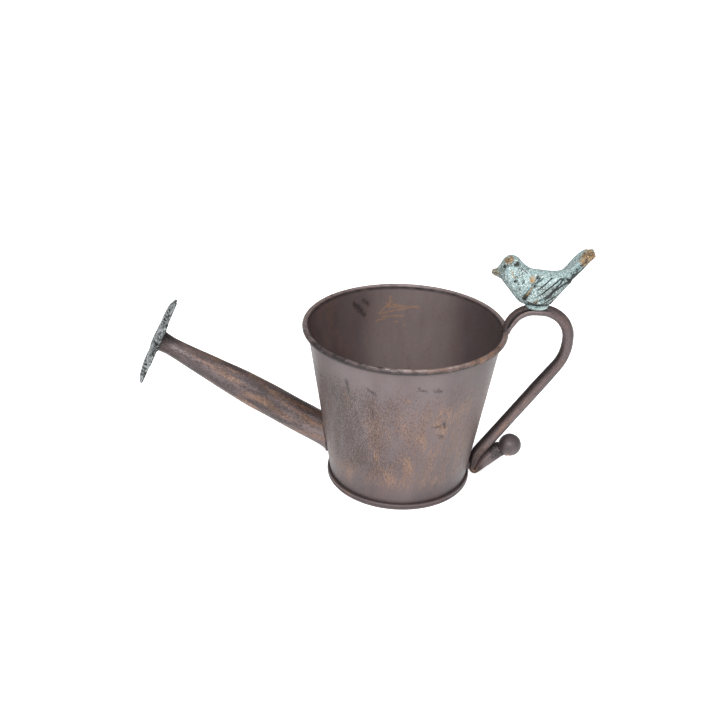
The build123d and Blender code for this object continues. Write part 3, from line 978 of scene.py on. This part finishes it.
def handle_stations():
    """Middle, direction, thickness and width of the tube, station by station."""
    line = bent_line(
        [Vector((HANDLE_FRONT, 0, BEAD_HEIGHT - 1)), Vector((HANDLE_FRONT, 0, HANDLE_TOP)),
         Vector((HANDLE_REACH, 0, HANDLE_TOP)), LEG_CORNER, LEG_FOOT],
        [ARCH_FRONT_BEND, ARCH_BACK_BEND, LEG_BEND])
    stations = []
    for index, point in enumerate(line[:-1]):
        ahead = (line[index + 1] - line[max(index - 1, 0)]).normalized()
        leg = ease(index / len(line), 0.42, 0.62)
        start = 1 - ease(index, 0, 11)
        thick = ARCH_THICK - 2.4 * start + (LEG_THICK - ARCH_THICK) * leg
        width = ARCH_WIDE - 1.2 * start + (LEG_WIDE - ARCH_WIDE) * leg
        stations.append((point - Vector((0.9 * start, 0, 0)), ahead, thick, width))
    crease = FOLD + Vector((1.0, 0, 0.9))
    crease_radius = 2.15
    entry, leave = 160, 318
    leg_pull = (LEG_FOOT - LEG_CORNER).normalized() * 12
    fold_top = crease + heading(entry) * crease_radius
    for share, point, ahead in curve_steps(19, LEG_FOOT, leg_pull, fold_top, heading(entry + 90) * 9)[:-1]:
        thick = LEG_THICK - (LEG_THICK - FOLD_THICK) * share ** 1.5
        stations.append((point, ahead, thick, LEG_WIDE + (FOLD_WIDE - LEG_WIDE) * share))
    for step in range(FOLD_STEPS):
        degrees = entry + (leave - entry) * step / (FOLD_STEPS - 1)
        point = crease + heading(degrees) * crease_radius
        stations.append((point, heading(degrees + 90), FOLD_THICK, FOLD_WIDE))
    neck = BALL - TAIL_WAY * 6.7 + Vector((-0.9, 0, 0.8))
    tail = curve_steps(TAIL_STEPS, point, heading(leave + 90) * 16, neck, heading(30) * 16)
    for share, point, ahead in tail:
        point += TAIL_UP * 0.8 * ease(share, 0, 0.35) * (1 - ease(share, 0.75, 1))
        thick = along(((0, FOLD_THICK), (0.2, 7.6), (0.5, 11.6), (0.8, 13.0), (1.0, 11.6)), share)
        width = along(((0, FOLD_WIDE), (0.4, 13.0), (0.8, 12.2), (1.0, 11.4)), share)
        stations.append((point, ahead, thick, width))
    return stations


def curve_steps(steps, *curve):
    """Share, point and direction at even steps of a smooth curve."""
    found = []
    for share in [step / steps for step in range(1, steps + 1)]:
        point = smooth_between(share, *curve)
        found.append((share, point, (point - smooth_between(share - 0.01, *curve)).normalized()))
    return found


def handle_wear(grain, groove, lip, fold_at, total):
    """Paint of the handle at a straightened place, from its seam's groove and lip: painted shade in the
    groove, along the tube's edges, at the bend, on the tail's flank and at the arch's sides, and painted
    highlights on the lip, the tail's ridge and down the middle of the leg.
    """
    length, inwards = grain.z, grain.x / HANDLE_GRAIN
    leg = ease(length, 60, 85) * (1 - ease(length, fold_at, fold_at + 6))
    tail = ease(length, fold_at + 6, fold_at + 12)
    fold = hump(length, fold_at + 2, 6)
    neck = ease(length, total - 13, total - 5)
    # band: a painted highlight down the middle of the leg, given through the rub.
    band = leg * hump(inwards, 0.05, 0.35) * ease(length, 80, 120)
    bend = ease(length, 50, 70) * (1 - ease(length, 105, 130))
    # Painted shade along the tube's edges, on the bend's outer side, on the tail's upper flank and at the
    # arch's sides; the tail's ridge gets a painted highlight.
    edges = 0.55 * leg * ease(inwards, 0.15, 0.8) + 0.4 * leg * ease(-inwards, 0.4, 1.0)
    edges += 0.4 * bend * ease(-inwards, -0.1, 0.6)
    flank = tail * (0.5 * ease(-inwards, 0.7, 0.95) - 0.5 * hump(inwards, -0.45, 0.22))
    arch = 0.3 * (1 - ease(length, 55, 80)) * ease(abs(inwards), 0.5, 1.0)
    # The lip is lightened as a painted highlight, and the groove darkened as painted shade.
    return {
        "grain": grain,
        "rub": min(1.0, 0.34 + 0.2 * lip + 0.75 * fold + 0.35 * band + 0.3 * wobble(grain, 9)),
        "soot": min(1.0, 0.95 * groove + 0.44 + 0.45 * leg * ease(abs(inwards), 0.4, 0.9) + 0.5 * neck),
        "shade": min(1.0, 0.26 + 0.9 * groove - 0.75 * lip + edges + flank + arch)}


def handle_piece():
    """Rolled tube with an open seam in the arch, squeezed and folded at the foot."""
    stations = handle_stations()
    lengths = [0.0]
    for index in range(1, len(stations)):
        lengths.append(lengths[-1] + (stations[index][0] - stations[index - 1][0]).length)
    # The length at the middle of the fold, where the tail begins to run back up.
    fold_at = lengths[-TAIL_STEPS - 12]
    total = lengths[-1]
    memory = Memory(handle_wear(Vector((0, 0, total)), 0.0, 0.0, fold_at, total))

    def place(row, angle):
        point, ahead, thick, width = stations[row]
        length = lengths[row]
        inwards, aside = math.cos(angle), math.sin(angle)
        arch = ease(length, 3, 8) * (1 - ease(length, 30, 44))
        from_seam = math.remainder(angle - math.radians(256 - 18 * ease(length, 6, 26)), TAU)
        squeezed = ease(length, fold_at - 34, fold_at - 4)
        tail = ease(length, fold_at + 6, fold_at + 14)
        crease = hump(abs(aside), 1.0, 0.1) * (1 - tail)
        size = 1 - 0.2 * arch * hump(from_seam, 0, 0.2) + 0.07 * arch * hump(from_seam, 0.4, 0.17)
        size -= 0.1 * squeezed * crease * ease(length, fold_at - 34, fold_at - 10)
        size += 0.07 * tail * hump(abs(aside), 1.0, 0.25) * (1 - ease(length, total - 9, total - 3))
        size -= 0.05 * tail * inwards ** 2
        size += 0.012 * wobble((length / 9, inwards, aside), 0.7, 2)
        outward = ACROSS.cross(ahead).normalized()
        spot = point + outward * (0.5 * thick * inwards * size) + ACROSS * (0.5 * width * aside * size)
        grain = Vector((HANDLE_GRAIN * inwards, HANDLE_GRAIN * aside, length))
        groove = max(arch * hump(from_seam, 0, 0.26), 0.5 * squeezed * crease)
        lip = arch * hump(from_seam, 0.42, 0.18)
        memory.keep(spot, handle_wear(grain, groove, lip, fold_at, total))
        return spot

    bm = skin(len(stations), 96, place)
    return finish_piece("handle_rolled_tube", bm, "bronze", "handle_tube", memory.paint(), sharp=55)


def handle_rim_bead():
    """Oval bead round the tube's end, lying on the rolled rim."""
    def centre(angle):
        out = turned(1, angle, 0)
        point = Vector((HANDLE_FRONT - 1.0 + 2.6 * out.x, 3.5 * out.y, BEAD_HEIGHT))
        across = point.xy.length - BEAD_AXIS
        point.z += math.sqrt(max((RIM_BEAD / 2) ** 2 - across ** 2, 0.0))
        return point, out, Vector((0, 0, 1))

    return bead("handle_rim_weld", centre, 0.6, soot=lambda point: 0.9 + 0.3 * wobble(point, 3), shade=0.8)


def handle_foot_bead():
    """Oval bead between the folded foot and the wall."""
    def centre(angle):
        side, up = math.cos(angle), math.sin(angle)
        across, height = 4.6 * side, 9.6 + 4.3 * up
        reach = math.sqrt(wall_radius(height) ** 2 - across ** 2) + 0.3
        return Vector((reach, across, height)), Vector((0, side, up)), Vector((1, 0, 0))

    return bead("handle_foot_weld", centre, 1.6)


def finial_bead():
    """Bead round the knob's neck."""
    way = (BALL - (FOLD + TAIL_WAY * 20)).normalized()
    side = ACROSS.cross(way)

    def centre(angle):
        out = side * math.cos(angle) + ACROSS * math.sin(angle)
        return BALL - way * 6.3 + out * 5.5, out, way

    return bead(
        "finial_weld", centre, 0.75, soot=lambda point: 0.7 + 0.5 * wobble(point, 3), rub=0.25, shade=0.45)


def ball_piece():
    """Slightly uneven round knob."""
    bm = bmesh.new()
    bmesh.ops.create_icosphere(bm, subdivisions=6, radius=BALL_RADIUS)
    for vert in bm.verts:
        way = vert.co.normalized()
        vert.co = way * (BALL_RADIUS + 0.09 * wobble(way, 0.6, 9) + 0.03 * wobble(way, 0.15, 4))
    bmesh.ops.translate(bm, vec=BALL, verts=bm.verts[:])

    def rub(point):
        return patches([(BALL + Vector((-1.5, -4.5, -6.5)), 6.5, 1.0)], point)

    # Painted shade: the knob darker towards its left and right sides.
    def shade(point):
        way = (point - BALL).normalized()
        return 0.45 + 0.4 * ease(abs(way.x), 0.3, 0.95) + 0.15 * wobble(point, 4)

    return finish_piece("finial_round_knob", bm, "bronze", "finial_ball", {
        "grain": as_is, "rub": rub, "scratch": rub, "soot": 0.45, "shade": shade})


# ---------------------------------------------------------------- bird
# The bird's outlines from the side, as (along, up), and its half widths, as (along, across).
BIRD_BACK = (
    (58.9, 170.8), (59.3, 171.9), (60.3, 172.7), (62.4, 173.4), (63.6, 175.0), (65.2, 177.6),
    (67.0, 180.9), (69.0, 183.0), (71.4, 184.1), (74.1, 183.6), (77.0, 182.0), (80.1, 179.0),
    (83.1, 176.6), (86.1, 175.0), (91.7, 174.2), (100.1, 173.5), (105.7, 173.7), (108.3, 175.1),
    (110.8, 177.7), (113.1, 181.0), (115.5, 184.4), (117.9, 187.2), (120.4, 189.6), (123.0, 191.0),
    (125.8, 190.7), (128.0, 189.7), (128.8, 188.9))
BIRD_BELLY = (
    (58.9, 169.8), (59.3, 168.9), (60.2, 168.0), (61.5, 167.4), (63.5, 166.5), (65.6, 165.3),
    (67.6, 162.9), (69.6, 160.6), (71.7, 158.1), (73.7, 155.6), (79.4, 149.2), (84.7, 146.6),
    (93.0, 145.6), (101.6, 147.6), (104.0, 150.8), (108.4, 157.2), (113.3, 164.2), (114.8, 167.2),
    (120.3, 174.4), (125.0, 181.4), (128.0, 186.8), (128.8, 187.9))
BIRD_HALF_WIDTH = (
    (58.9, 1.2), (59.6, 2.3), (61.4, 3.0), (62.8, 3.9), (64.2, 6.0), (66.0, 8.1), (68.5, 9.2),
    (71.5, 9.7), (75.0, 9.6), (79.0, 9.9), (84.0, 11.0), (91.0, 11.6), (98.0, 11.4), (104.0, 10.3),
    (110.0, 9.0), (115.0, 8.5), (122.0, 8.6), (126.5, 8.3), (128.0, 7.5), (128.8, 6.4))
# 2 makes a slice of the bird round; more makes it squarer.
BIRD_SQUARENESS = ((58.9, 2.0), (100.0, 2.05), (106.0, 2.3), (112.0, 3.0), (118.0, 4.2), (128.8, 5.0))
# The outlines are those seen from a little above, looking down by this slope.
VIEW_SLOPE = 0.41
# Soft patches on the bird, as (middle, radius, strength).
BIRD_OCHRE = (
    ((70.0, -4, 182), 6.0, 1.0), ((87.5, -9, 170), 5.0, 0.85), ((90.5, -10.5, 153.5), 4.0, 0.75),
    ((124.5, -4, 187), 9.0, 1.5), ((121.5, -7, 184.0), 6.0, 1.2), ((125.0, 4, 188), 7.0, 0.9),
    ((64.0, -5, 172), 3.0, 0.7), ((96.0, -9, 160), 4.0, 0.4), ((83.0, 9, 166), 5.0, 0.7))
BIRD_DARK = (
    ((74.6, -6, 178.6), 2.6, 1.7), ((76.4, -6, 179.8), 3.0, 1.8), ((69.5, -6, 180), 5.0, 0.7),
    ((66.0, -6, 174.5), 6.0, 0.6), ((88.0, -10, 149.0), 7.0, 0.8), ((98.0, -10, 149.0), 7.0, 0.8),
    ((66.0, -7, 166.5), 5.0, 0.6), ((100.0, -10, 160), 10.0, 0.5), ((106.0, -9, 163), 8.0, 0.5),
    ((112.0, -8, 169), 6.0, 0.7), ((83.5, -9, 156), 4.0, 0.6), ((77.0, -9, 152), 5.0, 0.6),
    ((104.0, -6, 153), 5.0, 0.7), ((116.0, -8, 173), 4.0, 0.5), ((75.0, 7, 179), 3.5, 1.2),
    ((100.0, 9, 160), 9.0, 0.5))
# Outline of a folded wing and the lines drawn on the bird, as (along, up).
WING = (
    (91.0, 170.6), (98.7, 172.9), (106.5, 172.3), (114.5, 169.2), (107.4, 161.2), (99.9, 152.0),
    (91.0, 151.5), (82.3, 154.6), (86.0, 162.6))
COVERT_LINE = ((108.5, 171.0), (101.9, 162.0), (96.9, 156.0))
WING_FRONT = ((92.0, 170.0), (86.5, 162.8), (82.4, 154.6))
WORN_EDGE = ((87.5, 164.5), (82.4, 155.5))
TAIL_UNDER = ((112.0, 169.6), (118.0, 176.2), (126.0, 186.0))
MOUTH = ((58.5, 170.2), (62.0, 170.8), (65.0, 170.2))
CHEEK = ((71.5, 175.4), (73.9, 171.5), (75.1, 168.4))
EYE = (67.4, 177.3)
BREAST_DOT = (75.2, 167.8)


def outline_gap(point, outline):
    """Distance to a closed outline, positive inside."""
    inside = False
    best = 1e9
    for index, start in enumerate(outline):
        end = outline[(index + 1) % len(outline)]
        best = min(best, line_gap(point, start, end))
        if (start[1] > point[1]) != (end[1] > point[1]):
            cross = start[0] + (point[1] - start[1]) * (end[0] - start[0]) / (end[1] - start[1])
            inside ^= point[0] < cross
    return best if inside else -best


def path_gap(point, line):
    """Distance from a flat point to a flat line of several runs."""
    return min(line_gap(point, line[i], line[i + 1]) for i in range(len(line) - 1))


def bird_wing(flat, flank, spot):
    """Height and groove of the wing: its raised outline, its feathers and its front edge."""
    wing = outline_gap(flat, WING)
    height = (0.85 * ease(wing, -0.5, 0.7) - 0.5 * hump(wing, -0.8, 0.7)) * flank
    groove = 0.85 * hump(wing, -0.6, 0.75) * flank * (0.85 + 0.6 * wobble(spot, 2.0))
    if wing > 0:
        feather = math.sin(TAU * (0.78 * (spot.z - 160) - 0.62 * (spot.x - 95)) / 3.7)
        cut = ease(feather, 0.55, 1.0) * ease(wing, 0.3, 1.6) * flank * ease(spot.x, 87, 93)
        covert = hump(path_gap(flat, COVERT_LINE), 0, 0.7) * flank
        height -= 0.6 * cut + 0.45 * covert
        groove = max(groove, cut * (0.95 + 0.6 * wobble(spot, 1.5)), 0.8 * covert)
    front = path_gap(flat, WING_FRONT)
    worn = 0.75 + 0.5 * wobble(spot, 1.6)
    height -= 0.5 * hump(front, 0, 0.8) * flank
    return height, max(groove, 1.25 * worn * hump(front, 0, 0.95) * flank)


def bird_detail(spot):
    """Height of the bird's relief at a point, and its paint."""
    x, y, z = spot
    flat = (x, z)
    flank = ease(abs(y), 4.5, 7.5)
    height, groove = bird_wing(flat, flank, spot)
    tail = ease(x, 109, 115)
    fan = math.cos(TAU * y / 4.2)
    under = hump(path_gap(flat, TAIL_UNDER), 0, 0.75) * ease(abs(y), 5, 7.5)
    mouth = hump(path_gap(flat, MOUTH), 0, 0.45) * (1 - ease(x, 64.0, 65.5))
    height -= 0.3 * tail * ease(fan, 0.5, 1.0) * (1 - ease(x, 117, 123)) + 0.35 * mouth
    groove = max(groove, 0.55 * tail * ease(fan, 0.6, 1.0), 0.95 * under, 0.8 * mouth)
    if abs(y) > 4:
        eye = math.dist(flat, EYE)
        height += 0.35 * hump(eye, 1.7, 0.5) - 0.3 * hump(eye, 0, 0.9)
        groove = max(groove, 0.7 * (1 - ease(eye, 0.7, 1.3)))
    edge = hump(path_gap(flat, WORN_EDGE), 0, 0.9) * flank
    dot = (1 - ease(math.dist(flat, BREAST_DOT), 0.7, 1.6)) * flank
    foot = max(0.9 * hump(z, PERCH_TOP + 0.3, 0.8), 0.55 * hump(z, PERCH_TOP + 2.2, 0.7))
    cheek = 0.75 * hump(path_gap(flat, CHEEK), 0, 1.1) * flank
    return height, {
        "groove": min(max(groove * (1 - 0.6 * edge), dot, foot), 1.2),
        "rub": max(cheek, patches(BIRD_OCHRE, spot), 1.1 * edge),
        "beak": 1 - ease(x + 0.12 * abs(z - 170), 62.8, 64.4),
        "soot": patches(BIRD_DARK, spot)}


def rounded_power(value, power):
    """A sine or cosine bent so that the round it draws turns squarer."""
    return math.copysign(abs(value) ** (2 / power), value)


def bird_piece():
    """Cast bird built from upright slices, with wings, feathers, eyes and a beak line."""
    rows = 190
    first, last = BIRD_BACK[0][0], BIRD_BACK[-1][0]
    memory = Memory({"groove": 0.0, "rub": 0.3, "beak": 0.0, "soot": 0.0})

    def place(row, angle):
        x = first + (last - first) * (row / (rows - 1))
        top, bottom = along(BIRD_BACK, x), along(BIRD_BELLY, x)
        middle = (top + bottom) / 2
        half_width = max(along(BIRD_HALF_WIDTH, x), 0.2)
        power = along(BIRD_SQUARENESS, x)
        conjugate = power / (power - 1)
        seen = max((top - bottom) / 2, 0.2)
        seen_side = min(half_width * VIEW_SLOPE, 0.75 * seen)
        half_height = (seen ** conjugate - seen_side ** conjugate) ** (1 / conjugate)
        y = half_width * rounded_power(math.cos(angle), power)
        z = max(middle + half_height * rounded_power(math.sin(angle), power), PERCH_TOP - 0.6)
        spot = Vector((x, y, z))
        height, paint = bird_detail(spot)
        height += 0.16 * wobble(spot, 2.2, 6) + 0.05 * wobble(spot, 0.7, 8)
        out = Vector((0, y / half_width ** 2, (z - middle) / half_height ** 2))
        out = out.normalized() if out.length > 1e-6 else Vector((0, 0, 1))
        spot += out * height * ease(half_width, 0.2, 2.5)
        memory.keep(spot, paint)
        return spot

    bm = skin(rows, 300, place)
    return finish_piece("bird_cast_body", bm, "bird", "bird_body", memory.paint(), sharp=60)


def perch_piece():
    """Rounded pad under the bird, slightly uneven."""
    edge, half = 1.5, 1.9
    bulge = [(POLE, PERCH_FOOT)]
    for degrees in range(-90, 91, 15):
        way = heading(degrees)
        bulge.append((PERCH_RADIUS - edge + edge * way.x, PERCH_FOOT + half + half * way.z))
    bulge.append((POLE, PERCH_TOP))

    def place(row, angle):
        radius, z = bulge[row]
        radius *= 1 + 0.02 * wobble(turned(1, angle, 0), 0.6, 3)
        point = Vector((BIRD_X, 0, 0)) + turned(radius, angle, z)
        point.z += 0.2 * wobble(point, 2.5, 12) if 0.5 < radius < PERCH_RADIUS - 0.5 else 0
        return point

    def groove(point):
        return max(0.5 * hump(point.z, PERCH_FOOT, 0.9), 0.9 * hump(point.z, PERCH_TOP, 0.5))

    return finish_piece("bird_perch_pad", skin(len(bulge), 120, place), "bird", "bird_perch", {
        "groove": groove, "rub": 0.0, "beak": 0.0, "soot": lambda point: 0.1 + 0.3 * wobble(point, 4)})


# ---------------------------------------------------------------- building everything
def build_pieces():
    for make in (
            pot_wall_piece, base_piece, spout_piece, spout_root_bead, rose_bead, rose_piece, handle_piece,
            handle_rim_bead, handle_foot_bead, ball_piece, finial_bead, perch_piece, bird_piece):
        make()


def dress_carried_parts():
    """Parts that look the same as their CAD solids only get a finish."""
    for node, slot in (("rim_wire", "wire"), ("seam_seal", "sealant"), ("bird_pin", "wire")):
        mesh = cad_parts[node].data
        mesh.materials.clear()
        mesh.materials.append(FINISHES[slot])


# ---------------------------------------------------------------- floor, light and camera
def build_floor():
    """Pale, slightly glowing floor."""
    white = (0.93, 0.93, 0.93, 1.0)
    paint = Finish("pale_floor", **{
        "Base Color": white, "Roughness": 0.8, "Specular IOR Level": 0.2,
        "Emission Color": white, "Emission Strength": 0.8})
    bm = bmesh.new()
    bmesh.ops.create_grid(bm, x_segments=1, y_segments=1, size=12.0)
    floor = stand("studio_floor", mesh_from("studio_floor", bm))
    floor.data.materials.append(paint.material)


def area_light(name, place, aim, size, power):
    data = bpy.data.lights.new(name, "AREA")
    data.shape = "DISK"
    data.size = size
    data.energy = power
    lamp = stand(name, data)
    lamp.location = place
    lamp.rotation_euler = (Vector(aim) - Vector(place)).to_track_quat("-Z", "Y").to_euler()


def build_light():
    world = bpy.data.worlds.new("studio")
    world.use_nodes = True
    background = world.node_tree.nodes["Background"]
    background.inputs["Color"].default_value = (1.0, 1.0, 1.0, 1.0)
    background.inputs["Strength"].default_value = 0.3
    bpy.context.scene.world = world
    area_light("key_light", (-0.15, -1.15, 0.95), (0, 0, 0.08), 0.45, 19)
    area_light("side_light", (1.0, -0.4, 0.6), (0, 0, 0.08), 0.4, 1.2)
    area_light("top_light", (0.05, -0.15, 1.35), (0, 0, 0.05), 0.7, 10)


def build_camera():
    """Camera a little above the can, looking down on it from the front."""
    turn, distance, height = math.radians(1.0), 0.6901, 0.4487
    aside = turn + math.radians(2.66)
    down, roll = math.radians(27.15), math.radians(1.77)
    ahead = Vector((-math.sin(aside) * math.cos(down), math.cos(aside) * math.cos(down), -math.sin(down)))
    right = Vector((math.cos(aside), math.sin(aside), 0))
    up = right.cross(ahead)
    rolled_right = math.cos(roll) * right + math.sin(roll) * up
    rolled_up = -math.sin(roll) * right + math.cos(roll) * up
    place = Vector((math.sin(turn) * distance, -math.cos(turn) * distance, height))
    data = bpy.data.cameras.new("main_camera")
    data.lens = 52.28
    data.sensor_width = 36
    data.clip_start = 0.01
    camera = stand("main_camera", data)
    turned = Matrix((rolled_right, rolled_up, -ahead)).transposed()
    camera.matrix_world = Matrix.Translation(place) @ turned.to_4x4()
    bpy.context.scene.camera = camera


build_pieces()
dress_carried_parts()
build_floor()
build_light()
build_camera()
bpy.context.scene.view_settings.view_transform = "Standard"
